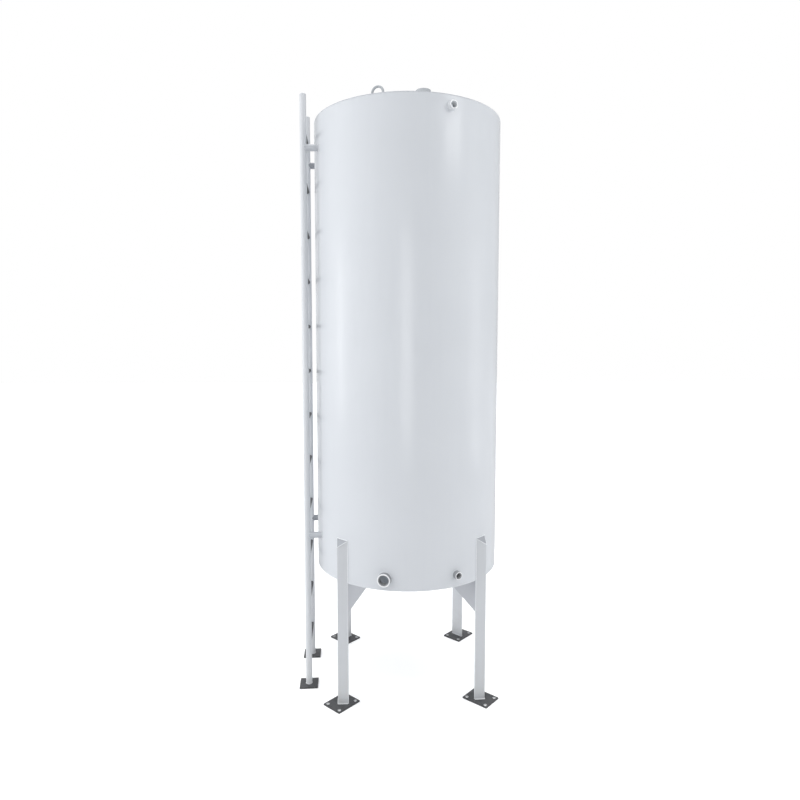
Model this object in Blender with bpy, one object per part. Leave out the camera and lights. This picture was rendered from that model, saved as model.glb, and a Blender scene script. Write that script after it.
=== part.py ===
# Vertical storage tank: a plain cylinder on four angle legs, with a fixed ladder at its left side.
# Metres, +Z up. The side with the low nozzles faces -Y, the ladder stands at -X, the floor is Z = 0.
import math

import bmesh
import bpy
from mathutils import Matrix, Vector

# Clearance between touching pieces
gap = 0.0003

# Shell, rolled in courses from sheet of one width, each of a front plate and one wrapped round the back
shell_radius = 0.610
shell_wall = 0.005
shell_sides = 96
sheet_width = 1.000
shell_courses = ["shell_lower", "shell_middle", "shell_upper"]
shell_plates = {"front": (225, 315), "back": (315, 585)}
tank_bottom = 0.7915
tank_rim = 3.7045
bottom_thickness = 0.008
roof_thickness = 0.005
roof_slope = 0.12

# Legs: steel angle, heel outward; the front right one stands a little off the square
leg_angles = {"front_left": 225, "front_right": 316.2, "back_right": 45, "back_left": 135}
leg_toe_radius = 0.6094
leg_half_width = 0.0455
leg_wall = 0.006
leg_heel_top = 1.027
leg_toe_top = 1.0645
inner_plate_thickness = 0.005
gusset_length = 0.350
gusset_height = 0.245
gusset_thickness = 0.006

# Base plates under the legs
plate_thickness = 0.0095
plate_length = 0.180
plate_width = 0.144
plate_centre = 0.6235
plate_hole = 0.022
plate_hole_edge = 0.020

# Ladder, turned slightly from the tank's side
ladder_offset = 0.6705
ladder_turn = 1.3
ladder_half_span = 0.203
ladder_tube = 0.041
ladder_top = 3.8355
ladder_dome = 0.010
ladder_foot = 0.120
rung_count = 12
rung_first = 0.2415
rung_pitch = 0.308
rung_bar = 0.025
bracket_heights = {"lower": 1.0235, "upper": 3.5045}

# Couplings: place on the shell or roof, outer and bore diameters
coupling_edge = 0.002
side_couplings = {
    "nozzle_low_large": {"plate": "shell_lower_front", "angle": 253.6, "height": 0.8640,
                         "outer": 0.084, "bore": 0.063, "reach": 0.030},
    "nozzle_low_small": {"plate": "shell_lower_front", "angle": 295.9, "height": 0.8710,
                         "outer": 0.050, "bore": 0.035, "reach": 0.033},
    "nozzle_high": {"plate": "shell_upper_front", "angle": 290.5, "height": 3.6385,
                    "outer": 0.051, "bore": 0.035, "reach": 0.035},
}
roof_coupling_angle = 277.9
roof_coupling_radius = 0.460
roof_coupling_outer = 0.090
roof_coupling_bore = 0.072
roof_coupling_top = 3.7655
roof_coupling_bottom = 3.700

# Lifting eyes on the roof
eye_angles = {"front": 244.7, "back": 64.7}
eye_radius = 0.480
eye_bend = 0.0350
eye_bar = 0.015
eye_top = 3.8000

# The origin is the middle of the floor area, so the tank's axis stands a little to the right of it and
# a little behind it, because the ladder sticks out at the left and the large low nozzle at the front
ladder_radians = math.radians(ladder_turn)
left_reach = (ladder_offset + ladder_half_span * math.sin(ladder_radians)
              + ladder_foot / 2 * (math.sin(ladder_radians) + math.cos(ladder_radians)))
front_nozzle = side_couplings["nozzle_low_large"]
front_turn = math.radians(front_nozzle["angle"])
front_reach = (-math.sin(front_turn) * (shell_radius + front_nozzle["reach"])
               - math.cos(front_turn) * (front_nozzle["outer"] / 2 - coupling_edge))
axis_place = ((left_reach - shell_radius) / 2, (front_reach - shell_radius) / 2, 0)


def clear_scene():
    for item in list(bpy.data.objects):
        bpy.data.objects.remove(item, do_unlink=True)


def make_material(name, colour, roughness, metallic):
    material = bpy.data.materials.new(name)
    material.use_nodes = True
    shader = material.node_tree.nodes["Principled BSDF"]
    shader.inputs["Base Color"].default_value = (*colour, 1.0)
    shader.inputs["Roughness"].default_value = roughness
    shader.inputs["Metallic"].default_value = metallic
    return material


def finish_mesh(name, bm):
    bmesh.ops.recalc_face_normals(bm, faces=bm.faces)
    mesh = bpy.data.meshes.new(name)
    bm.to_mesh(mesh)
    bm.free()
    return mesh


def shade(mesh, angle=35):
    mesh.shade_smooth()
    mesh.set_sharp_from_angle(angle=math.radians(angle))


def place(name, mesh, material, axis, location=(0, 0, 0), rotation=(0, 0, 0)):
    item = bpy.data.objects.new(name, mesh)
    bpy.context.collection.objects.link(item)
    item.parent = axis
    item.location = location
    item.rotation_euler = rotation
    if material and not mesh.materials:
        mesh.materials.append(material)
    return item


def place_cutter(name, mesh, axis, location=(0, 0, 0), rotation=(0, 0, 0)):
    cutter = place(name, mesh, None, axis, location, rotation)
    cutter.hide_render = True
    cutter.display_type = "WIRE"
    return cutter


def cut(item, cutter):
    modifier = item.modifiers.new("cut " + cutter.name, "BOOLEAN")
    modifier.operation = "DIFFERENCE"
    modifier.solver = "EXACT"
    modifier.object = cutter


def turned(name, profile, sides, smooth=True):
    # Closed profile of (radius, height) points, turned about Z
    bm = bmesh.new()
    points = [bm.verts.new((radius, 0, height)) for radius, height in profile]
    edges = [bm.edges.new((a, b)) for a, b in zip(points, points[1:])]
    if profile[0][0] > 0 or profile[-1][0] > 0:
        edges.append(bm.edges.new((points[-1], points[0])))
    bmesh.ops.spin(bm, geom=points + edges, cent=(0, 0, 0), axis=(0, 0, 1),
                   angle=math.tau, steps=sides, use_merge=True)
    bmesh.ops.remove_doubles(bm, verts=bm.verts, dist=0.00001)
    mesh = finish_mesh(name, bm)
    if smooth:
        shade(mesh)
    return mesh


def rolled_plate(name, first, last, low, high):
    # A piece of the round wall between two upright seams, one facet to each step of the shell
    step = 360 / shell_sides
    half_seam = math.degrees(gap / 2 / shell_radius)
    turns = [first + half_seam]
    turns += [number * step for number in range(round(first / step) + 1, round(last / step))]
    turns.append(last - half_seam)
    inside = shell_radius - shell_wall
    section = [(inside, low), (shell_radius, low), (shell_radius, high), (inside, high)]
    bm = bmesh.new()
    rings = []
    for degrees in turns:
        across = math.cos(math.radians(degrees))
        along = math.sin(math.radians(degrees))
        rings.append([bm.verts.new((radius * across, radius * along, height)) for radius, height in section])
    for ring, following in zip(rings, rings[1:]):
        for corner in range(4):
            after = (corner + 1) % 4
            bm.faces.new((ring[corner], ring[after], following[after], following[corner]))
    bm.faces.new(rings[0])
    bm.faces.new(rings[-1])
    mesh = finish_mesh(name, bm)
    shade(mesh)
    return mesh


def slab(name, size, centre, bevel=0.0):
    bm = bmesh.new()
    bmesh.ops.create_cube(bm, size=1, matrix=Matrix.Translation(centre) @ Matrix.Diagonal((*size, 1)))
    if bevel:
        bmesh.ops.bevel(bm, geom=bm.edges, offset=bevel, segments=1, affect="EDGES")
    return finish_mesh(name, bm)


def prism(name, outline, depth):
    # Flat outline in one plane, extruded by a vector
    bm = bmesh.new()
    face = bm.faces.new([bm.verts.new(point) for point in outline])
    extruded = bmesh.ops.extrude_face_region(bm, geom=[face])
    moved = [item for item in extruded["geom"] if isinstance(item, bmesh.types.BMVert)]
    bmesh.ops.translate(bm, verts=moved, vec=depth)
    return finish_mesh(name, bm)


def shell_outside(radius):
    return tank_rim + (shell_radius - radius) * roof_slope


def build_tank(axis):
    paint = make_material("shell_paint", (0.75, 0.77, 0.79), 0.22, 0.0)
    roof_paint = make_material("roof_paint", (0.74, 0.76, 0.78), 0.28, 0.0)
    bottom_paint = make_material("bottom_paint", (0.70, 0.72, 0.74), 0.3, 0.0)
    foot = tank_bottom + bottom_thickness + gap
    shell_top = tank_rim - roof_thickness - gap
    plates = {}
    for course in shell_courses:
        top = min(foot + sheet_width, shell_top)
        for side, (first, last) in shell_plates.items():
            name = course + "_" + side
            plates[name] = place(name, rolled_plate(name, first, last, foot, top), paint, axis)
        foot = top + gap
    place("bottom_plate", turned("bottom_plate", [(0, tank_bottom), (shell_radius, tank_bottom),
                                                  (shell_radius, tank_bottom + bottom_thickness),
                                                  (0, tank_bottom + bottom_thickness)],
                                 shell_sides), bottom_paint, axis)
    peak = shell_outside(0)
    roof = place("roof", turned("roof", [(0, peak - roof_thickness),
                                         (shell_radius, tank_rim - roof_thickness),
                                         (shell_radius, tank_rim), (0, peak)],
                                shell_sides), roof_paint, axis)
    return plates, roof


def coupling_mesh(name, outer, bore, low, high):
    edge = coupling_edge
    return turned(name, [(bore / 2, low), (outer / 2, low), (outer / 2, high - edge),
                         (outer / 2 - edge, high), (bore / 2 + edge, high), (bore / 2, high - edge)], 40)


def coupling_cutter_mesh(name, outer, low, high):
    radius = outer / 2 + gap
    return turned(name, [(0, low), (radius, low), (radius, high), (0, high)], 40)


def build_couplings(axis, plates, roof):
    paint = make_material("coupling_paint", (0.72, 0.74, 0.76), 0.3, 0.0)
    for name, size in side_couplings.items():
        turn = (0, math.pi / 2, math.radians(size["angle"]))
        location = (0, 0, size["height"])
        low = shell_radius - shell_wall - 0.005
        high = shell_radius + size["reach"]
        place(name, coupling_mesh(name, size["outer"], size["bore"], low, high), paint, axis, location, turn)
        cutter = place_cutter(name + "_hole", coupling_cutter_mesh(name + "_hole", size["outer"], 0.5, 0.7),
                              axis, location, turn)
        cut(plates[size["plate"]], cutter)
    angle = math.radians(roof_coupling_angle)
    location = (roof_coupling_radius * math.cos(angle), roof_coupling_radius * math.sin(angle), 0)
    place("nozzle_roof", coupling_mesh("nozzle_roof", roof_coupling_outer, roof_coupling_bore,
                                       roof_coupling_bottom, roof_coupling_top), paint, axis, location)
    cutter = place_cutter("nozzle_roof_hole", coupling_cutter_mesh("nozzle_roof_hole", roof_coupling_outer,
                                                                   3.6, 3.9), axis, location)
    cut(roof, cutter)


def leg_mesh():
    # The angle and the sloped plate that closes its top, as one triangular bar that is hollowed later
    heel = leg_toe_radius + leg_half_width
    foot = plate_thickness + gap
    slope = (leg_toe_top - leg_heel_top) / leg_half_width
    bm = bmesh.new()
    outline = [(heel, 0), (leg_toe_radius, leg_half_width), (leg_toe_radius, -leg_half_width)]
    face = bm.faces.new([bm.verts.new((x, y, foot)) for x, y in outline])
    extruded = bmesh.ops.extrude_face_region(bm, geom=[face])
    for item in extruded["geom"]:
        if isinstance(item, bmesh.types.BMVert):
            item.co.z = leg_heel_top + (heel - item.co.x) * slope
    return finish_mesh("leg", bm)


def leg_hollow_mesh():
    heel = leg_toe_radius + leg_half_width - leg_wall * math.sqrt(2)
    back = leg_toe_radius - 0.02
    slope = (leg_toe_top - leg_heel_top) / leg_half_width
    half_width = heel - back
    bm = bmesh.new()
    outline = [(heel, 0), (back, half_width), (back, -half_width)]
    face = bm.faces.new([bm.verts.new((x, y, -0.1)) for x, y in outline])
    extruded = bmesh.ops.extrude_face_region(bm, geom=[face])
    closed_top = leg_heel_top - leg_wall * 1.2
    outer_heel = leg_toe_radius + leg_half_width
    for item in extruded["geom"]:
        if isinstance(item, bmesh.types.BMVert):
            item.co.z = closed_top + (outer_heel - item.co.x) * slope
    return finish_mesh("leg_hollow", bm)


def gusset_mesh():
    root = leg_toe_radius - inner_plate_thickness - 2 * gap
    top = tank_bottom - gap
    outline = [(root, -gusset_thickness / 2, top), (root - gusset_length, -gusset_thickness / 2, top),
               (root, -gusset_thickness / 2, top - gusset_height)]
    return prism("gusset", outline, Vector((0, gusset_thickness, 0)))


def build_legs(axis):
    paint = make_material("leg_paint", (0.58, 0.60, 0.63), 0.35, 0.0)
    inner_paint = make_material("inner_plate_paint", (0.52, 0.54, 0.57), 0.4, 0.0)
    gusset_paint = make_material("gusset_paint", (0.48, 0.50, 0.53), 0.4, 0.0)
    clearance = place_cutter("shell_clearance", turned(
        "shell_clearance", [(0, tank_bottom - gap), (shell_radius + gap, tank_bottom - gap),
                            (shell_radius + gap, tank_rim), (0, tank_rim)], shell_sides), axis)
    bar = leg_mesh()
    hollow = leg_hollow_mesh()
    inner_foot = plate_thickness + gap
    inner_height = tank_bottom - gap - inner_foot
    inner = slab("inner_plate", (inner_plate_thickness, 2 * leg_half_width, inner_height),
                 (leg_toe_radius - gap - inner_plate_thickness / 2, 0, inner_foot + inner_height / 2))
    gusset = gusset_mesh()
    for corner, degrees in leg_angles.items():
        turn = (0, 0, math.radians(degrees))
        leg = place("leg_" + corner, bar, paint, axis, rotation=turn)
        void = place_cutter("leg_hollow_" + corner, hollow, axis, rotation=turn)
        cut(leg, void)
        cut(leg, clearance)
        place("inner_plate_" + corner, inner, inner_paint, axis, rotation=turn)
        place("gusset_" + corner, gusset, gusset_paint, axis, rotation=turn)
    return clearance


def build_base_plates(axis):
    steel = make_material("base_plate_steel", (0.09, 0.09, 0.095), 0.55, 0.3)
    plate = slab("base_plate", (plate_length, plate_width, plate_thickness),
                 (plate_centre, 0, plate_thickness / 2), bevel=0.001)
    bolt_hole = turned("bolt_hole", [(0, -0.01), (plate_hole / 2, -0.01),
                                     (plate_hole / 2, 0.03), (0, 0.03)], 20)
    reach = plate_length / 2 - plate_hole_edge
    side = plate_width / 2 - plate_hole_edge
    holes = [(-reach, -side), (reach, -side), (reach, side), (-reach, side)]
    for corner, degrees in leg_angles.items():
        turn = Matrix.Rotation(math.radians(degrees), 4, "Z")
        item = place("base_plate_" + corner, plate, steel, axis, rotation=(0, 0, math.radians(degrees)))
        for number, (along, across) in enumerate(holes):
            spot = turn @ Vector((plate_centre + along, across, 0))
            cut(item, place_cutter("bolt_hole_%s_%d" % (corner, number), bolt_hole, axis, spot))


def stringer_profile(radius):
    low = plate_thickness + gap
    shoulder = ladder_top - ladder_dome
    profile = [(0, low), (radius, low)]
    steps = 5
    for step in range(steps):
        turn = math.pi / 2 * step / steps
        profile.append((radius * math.cos(turn), shoulder + ladder_dome * math.sin(turn)))
    profile.append((0, ladder_top))
    return profile


def build_ladder(tank, clearance):
    axis = bpy.data.objects.new("ladder_axis", None)
    bpy.context.collection.objects.link(axis)
    axis.parent = tank
    axis.location = (-ladder_offset, 0, 0)
    axis.rotation_euler = (0, 0, ladder_radians)
    paint = make_material("ladder_paint", (0.62, 0.64, 0.66), 0.35, 0.0)
    rung_steel = make_material("rung_steel", (0.10, 0.10, 0.105), 0.5, 0.3)
    foot_steel = make_material("ladder_foot_steel", (0.09, 0.09, 0.095), 0.55, 0.3)
    radius = ladder_tube / 2
    stringer = turned("stringer", stringer_profile(radius), 24)
    fit = turned("stringer_clearance", [(0, -0.1), (radius + gap, -0.1), (radius + gap, 4), (0, 4)], 24)
    foot = slab("ladder_foot", (ladder_foot, ladder_foot, plate_thickness), (0, 0, plate_thickness / 2),
                bevel=0.001)
    sides = {"front": -ladder_half_span, "back": ladder_half_span}
    cutters = {}
    for side, y in sides.items():
        spot = (0, y, 0)
        place("ladder_stringer_" + side, stringer, paint, axis, spot)
        place("ladder_foot_" + side, foot, foot_steel, axis, spot)
        cutters[side] = place_cutter("stringer_clearance_" + side, fit, axis, spot)

    rung = turned("rung", [(0, -ladder_half_span), (rung_bar / 2, -ladder_half_span),
                           (rung_bar / 2, ladder_half_span), (0, ladder_half_span)], 16)
    for number in range(rung_count):
        spot = (0, 0, rung_first + number * rung_pitch)
        item = place("ladder_rung_%02d" % (number + 1), rung, rung_steel, axis, spot, (math.pi / 2, 0, 0))
        for side in sides:
            cut(item, cutters[side])

    stub = turned("bracket", [(0, 0.006), (radius, 0.006), (radius, 0.15), (0, 0.15)], 24)
    for level, height in bracket_heights.items():
        for side, y in sides.items():
            item = place("bracket_%s_%s" % (level, side), stub, paint, axis, (0, y, height),
                         (0, math.pi / 2, 0))
            cut(item, cutters[side])
            cut(item, clearance)


def eye_mesh():
    # A bar bent to a U: one leg up, half a turn over the top, the other leg down
    roof_here = shell_outside(eye_radius)
    spring = eye_top - eye_bend - eye_bar / 2
    low = roof_here - 0.02
    bm = bmesh.new()
    bmesh.ops.create_circle(bm, cap_ends=True, radius=eye_bar / 2, segments=12,
                            matrix=Matrix.Translation((0, eye_bend, low)))
    end = bm.faces[:][0]
    raised = bmesh.ops.extrude_face_region(bm, geom=[end])
    bmesh.ops.translate(bm, verts=[v for v in raised["geom"] if isinstance(v, bmesh.types.BMVert)],
                        vec=(0, 0, spring - low))
    top = [f for f in raised["geom"] if isinstance(f, bmesh.types.BMFace)]
    bent = bmesh.ops.spin(bm, geom=top, cent=(0, 0, spring), axis=(1, 0, 0), angle=math.pi, steps=12)
    last = [f for f in bent["geom_last"] if isinstance(f, bmesh.types.BMFace)]
    lowered = bmesh.ops.extrude_face_region(bm, geom=last)
    bmesh.ops.translate(bm, verts=[v for v in lowered["geom"] if isinstance(v, bmesh.types.BMVert)],
                        vec=(0, 0, low - spring))
    bmesh.ops.delete(bm, geom=[f for f in top + last if f.is_valid], context="FACES_ONLY")
    mesh = finish_mesh("lifting_eye", bm)
    shade(mesh)
    return mesh


def build_eyes(axis):
    paint = make_material("eye_paint", (0.60, 0.62, 0.64), 0.35, 0.0)
    peak = shell_outside(0) + gap
    edge = shell_radius + 0.05
    surface = place_cutter("roof_clearance", turned(
        "roof_clearance", [(0, tank_bottom), (edge, tank_bottom), (edge, shell_outside(edge) + gap),
                           (0, peak)], shell_sides), axis)
    bent_bar = eye_mesh()
    for side, degrees in eye_angles.items():
        angle = math.radians(degrees)
        spot = (eye_radius * math.cos(angle), eye_radius * math.sin(angle), 0)
        item = place("lifting_eye_" + side, bent_bar, paint, axis, spot, (0, 0, angle))
        cut(item, surface)


clear_scene()
tank_axis = bpy.data.objects.new("tank_axis", None)
tank_axis.location = axis_place
bpy.context.collection.objects.link(tank_axis)

shell_items, tank_roof = build_tank(tank_axis)
build_couplings(tank_axis, shell_items, tank_roof)
shell_gap = build_legs(tank_axis)
build_base_plates(tank_axis)
build_ladder(tank_axis, shell_gap)
build_eyes(tank_axis)
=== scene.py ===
# Vertical storage tank: the finish of every piece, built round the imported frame.
# Metres, +Z up. The low couplings face -Y and the ladder stands at -X.
import math

import bpy
from mathutils import Matrix, Vector


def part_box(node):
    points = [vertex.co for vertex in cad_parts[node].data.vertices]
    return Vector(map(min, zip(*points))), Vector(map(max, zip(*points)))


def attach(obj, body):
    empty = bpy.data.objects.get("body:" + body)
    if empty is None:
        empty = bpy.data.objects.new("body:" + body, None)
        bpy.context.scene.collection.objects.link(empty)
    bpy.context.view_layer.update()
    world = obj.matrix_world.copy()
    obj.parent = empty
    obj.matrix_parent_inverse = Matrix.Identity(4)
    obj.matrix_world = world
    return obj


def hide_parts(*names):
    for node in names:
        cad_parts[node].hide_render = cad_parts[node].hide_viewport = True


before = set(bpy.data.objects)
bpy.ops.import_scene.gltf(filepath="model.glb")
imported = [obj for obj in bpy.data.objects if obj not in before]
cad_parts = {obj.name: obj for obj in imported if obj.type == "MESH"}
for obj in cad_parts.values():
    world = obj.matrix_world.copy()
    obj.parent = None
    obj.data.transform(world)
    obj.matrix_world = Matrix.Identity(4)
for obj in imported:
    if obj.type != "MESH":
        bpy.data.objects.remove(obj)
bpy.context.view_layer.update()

# The tank's own axis and size, read off the frame
shellPlates = ["shell_%s_%s" % (course, side) for course in ("lower", "middle", "upper")
               for side in ("front", "back")]
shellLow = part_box(shellPlates[0])[0]
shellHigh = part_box(shellPlates[-1])[1]
roofLow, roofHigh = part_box("roof")
bottomLow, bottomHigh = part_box("bottom_plate")
tank = {
    "axis": Vector(((bottomLow.x + bottomHigh.x) / 2, (bottomLow.y + bottomHigh.y) / 2, 0)),
    "radius": (bottomHigh.x - bottomLow.x) / 2,
    "wall": 0.005,
    "sides": 288,
    "bottom": bottomLow.z,
    "bottomThickness": bottomHigh.z - bottomLow.z,
    "roofThickness": 0.005,
    "seam": 0.0022,
    "wallRings": (0.93, 1.10, 1.9, 2.7, 3.45, 3.58),
    "roofRings": (0.2, 0.4, 0.55),
    "bottomInsets": (0.06, 0.2, 0.2),
}
tank["rim"] = roofLow.z + tank["roofThickness"]
tank["slope"] = (roofHigh.z - tank["rim"]) / tank["radius"]
atTank = Matrix.Translation(tank["axis"])
alongX, alongY, alongZ = Vector((1, 0, 0)), Vector((0, 1, 0)), Vector((0, 0, 1))


# Small helpers for modelling
def deselect():
    if bpy.context.object and bpy.context.object.mode != "OBJECT":
        bpy.ops.object.mode_set(mode="OBJECT")
    bpy.ops.object.select_all(action="DESELECT")


def hold(piece):
    # Makes one piece the active and only selected one
    deselect()
    piece.select_set(True)
    bpy.context.view_layer.objects.active = piece


def fresh(name):
    # The primitive or copy just added, under its own name and with its place in its mesh
    piece = bpy.context.object
    piece.name = name
    piece.data.name = name
    bpy.ops.object.transform_apply(location=True, rotation=True, scale=True)
    return piece


def putDown(piece, place):
    hold(piece)
    piece.matrix_world = place
    bpy.ops.object.transform_apply(location=True, rotation=True, scale=True)


def copyTo(source, name, place):
    # A copy with its own mesh, set down in its place
    hold(source)
    bpy.ops.object.duplicate(linked=False)
    bpy.context.object.matrix_world = place
    return fresh(name)


def throwAway(piece):
    hold(piece)
    bpy.ops.object.delete()


def edit(piece, kind="FACE", action="SELECT"):
    # Edit mode with everything selected, or nothing
    hold(piece)
    bpy.ops.object.mode_set(mode="EDIT")
    bpy.ops.mesh.select_mode(type=kind)
    bpy.ops.mesh.select_all(action=action)


def pickFaces(piece, test):
    # Selects the faces whose centre and normal pass the test
    edit(piece, "FACE", "DESELECT")
    bpy.ops.object.mode_set(mode="OBJECT")
    for face in piece.data.polygons:
        face.select = test(face.center, face.normal)
    bpy.ops.object.mode_set(mode="EDIT")


def pickEdges(piece, test, level=False):
    # Selects the edges with both ends passing the test, or only the level ones of them
    edit(piece, "EDGE", "DESELECT")
    bpy.ops.object.mode_set(mode="OBJECT")
    for edge in piece.data.edges:
        first, last = (piece.data.vertices[number].co for number in edge.vertices)
        edge.select = test(first) and test(last) and (not level or first.z == last.z)
    bpy.ops.object.mode_set(mode="EDIT")


def pull(y=0.0, z=0.0):
    bpy.ops.mesh.extrude_region_move(TRANSFORM_OT_translate={"value": (0, y, z)})


def pullThrough(rings):
    # Draws the selection on from one (radius, height) ring to the next
    for (radius, height), (nextRadius, nextHeight) in zip(rings, rings[1:]):
        pull(z=nextHeight - height)
        if nextRadius != radius:
            factor = nextRadius / radius
            bpy.ops.transform.resize(value=(factor, factor, 1), center_override=(0, 0, nextHeight))


def cutOff(piece, point, normal, drop=True, fill=True):
    # Cuts a piece along a plane and drops the side the normal points to
    edit(piece)
    bpy.ops.mesh.bisect(plane_co=point, plane_no=normal, use_fill=fill, clear_outer=drop)
    bpy.ops.object.mode_set(mode="OBJECT")


def ringCuts(piece, axis, places):
    # Rings of edges across a piece, which keep long faces and their shading true
    for place in places:
        cutOff(piece, axis * place, axis, drop=False, fill=False)


def faceOut(piece):
    edit(piece)
    bpy.ops.mesh.remove_doubles(threshold=0.00001)
    bpy.ops.mesh.normals_make_consistent(inside=False)
    bpy.ops.object.mode_set(mode="OBJECT")


def modify(piece, kind, **settings):
    hold(piece)
    modifier = piece.modifiers.new(kind.lower(), kind)
    for key, value in settings.items():
        setattr(modifier, key, value)
    bpy.ops.object.modifier_apply(modifier=modifier.name)


def punch(piece, cutter):
    # Takes the cutter's shape out of the piece and throws the cutter away
    modify(piece, "BOOLEAN", object=cutter, operation="DIFFERENCE", solver="EXACT")
    throwAway(cutter)


def soften(piece, width, segments=2, angle=35):
    modify(piece, "BEVEL", width=width, segments=segments, limit_method="ANGLE",
           angle_limit=math.radians(angle), harden_normals=False)


def addBox(name, low, high):
    deselect()
    low, high = Vector(low), Vector(high)
    bpy.ops.mesh.primitive_cube_add(size=1, location=(low + high) / 2, scale=high - low)
    return fresh(name)


def addRod(name, sides, radius, low, high, **settings):
    # A cylinder between two heights, unless the settings put or turn it elsewhere
    deselect()
    settings.setdefault("location", (0, 0, (low + high) / 2))
    bpy.ops.mesh.primitive_cylinder_add(vertices=sides, radius=radius, depth=high - low, **settings)
    return fresh(name)


def turned(name, sides, rings):
    # A round piece built up ring by ring round Z, from (radius, height) pairs, and closed on itself
    deselect()
    radius, height = rings[0]
    bpy.ops.mesh.primitive_circle_add(vertices=sides, radius=radius, location=(0, 0, height))
    piece = fresh(name)
    edit(piece, "EDGE")
    pullThrough(rings + rings[:1])
    faceOut(piece)
    return piece


def spun(degrees):
    return Matrix.Rotation(math.radians(degrees), 4, "Z")


def onRing(radius, turn, height=0.0):
    return Vector((radius * math.cos(turn), radius * math.sin(turn), height))


def wallOut(across):
    # How far out the wall's face lies, this far to the side of a line through the axis
    return math.sqrt(tank["radius"] ** 2 - across ** 2)


def roofAt(radius):
    return tank["rim"] + (tank["radius"] - radius) * tank["slope"]


def onRoof(point, lift):
    # The place over a flat point where a bead's centre lies on the roof
    return tank["axis"] + Vector((point.x, point.y, roofAt(point.xy.length) + lift))


# Node groups for the effects that several finishes share
def feed(tree, socket, value):
    # A constant is set on the socket itself, anything else is linked to it
    if isinstance(value, (int, float, tuple)):
        socket.default_value = value
    else:
        tree.links.new(value, socket)


def addNode(tree, kind, place, values=None, **settings):
    node = tree.nodes.new(kind)
    node.location = place
    for key, value in settings.items():
        setattr(node, key, value)
    for key, value in (values or {}).items():
        feed(tree, node.inputs[key], value)
    return node


def addMath(tree, operation, place, first, second, clamp=False):
    return addNode(tree, "ShaderNodeMath", place, {0: first, 1: second}, operation=operation,
                   use_clamp=clamp).outputs["Value"]


def addNoise(tree, place, scale, detail, stretch=(1, 1, 1), roughness=0.5):
    # Noise over the piece's own coordinates, stretched by a mapping
    coordinates = addNode(tree, "ShaderNodeTexCoord", (place[0] - 400, place[1]))
    mapping = addNode(tree, "ShaderNodeMapping", (place[0] - 200, place[1]), {
        "Vector": coordinates.outputs["Object"], "Scale": stretch})
    return addNode(tree, "ShaderNodeTexNoise", place, {
        "Vector": mapping.outputs["Vector"], "Scale": scale, "Detail": detail,
        "Roughness": roughness}).outputs["Fac"]


def addRange(tree, place, value, low, high, toLow, toHigh):
    return addNode(tree, "ShaderNodeMapRange", place, {
        "Value": value, "From Min": low, "From Max": high, "To Min": toLow, "To Max": toHigh},
        clamp=True).outputs["Result"]


def addMix(tree, place, factor, first, second):
    return addNode(tree, "ShaderNodeMix", place, {0: factor, 6: first, 7: second}, data_type="RGBA",
                   blend_type="MIX").outputs[2]


def socketKind(coloured):
    return "NodeSocketColor" if coloured else "NodeSocketFloat"


def openGroup(name, inputs):
    group = bpy.data.node_groups.new(name, "ShaderNodeTree")
    for label, value in inputs.items():
        socket = group.interface.new_socket(name=label, in_out="INPUT",
                                            socket_type=socketKind(isinstance(value, tuple)))
        socket.default_value = value
    return group, addNode(group, "NodeGroupInput", (-1100, 0)).outputs


def closeGroup(group, results):
    for label in results:
        group.interface.new_socket(name=label, in_out="OUTPUT", socket_type=socketKind(label == "Colour"))
    addNode(group, "NodeGroupOutput", (900, 0), results)
    return group


def makePaintGroup():
    # Sprayed enamel: slow drifts of tone, faint runs down the wall, a fine orange peel
    group, given = openGroup("sprayed paint", {
        "Paint": (0.7, 0.72, 0.74, 1), "Thin paint": (0.6, 0.62, 0.65, 1), "Drift": 0.25, "Runs": 0.15,
        "Gloss low": 0.16, "Gloss high": 0.26, "Peel": 1.0})
    drift = addNoise(group, (-700, 500), 2.3, 3)
    runs = addNoise(group, (-700, 200), 26, 4, stretch=(1, 1, 0.045), roughness=0.62)
    sheen = addNoise(group, (-700, -100), 7, 5)
    peel = addNoise(group, (-700, -400), 210, 2)
    sag = addNoise(group, (-700, -700), 3.2, 1, stretch=(1, 1, 0.35))
    driftMask = addRange(group, (-300, 500), drift, 0.38, 0.66, 0, 1)
    driftMask = addMath(group, "MULTIPLY", (-100, 500), driftMask, given["Drift"])
    runMask = addRange(group, (-300, 200), runs, 0.52, 0.74, 0, 1)
    runMask = addMath(group, "MULTIPLY", (-100, 200), runMask, given["Runs"])
    both = addMath(group, "ADD", (100, 400), driftMask, runMask, clamp=True)
    fine = addMath(group, "MULTIPLY", (-100, -400), peel, given["Peel"])
    slow = addMath(group, "MULTIPLY", (-100, -700), sag, 26)
    return closeGroup(group, {
        "Colour": addMix(group, (300, 300), both, given["Paint"], given["Thin paint"]),
        "Roughness": addRange(group, (100, -100), sheen, 0.3, 0.7, given["Gloss low"], given["Gloss high"]),
        "Height": addMath(group, "ADD", (100, -500), fine, slow)})


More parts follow.
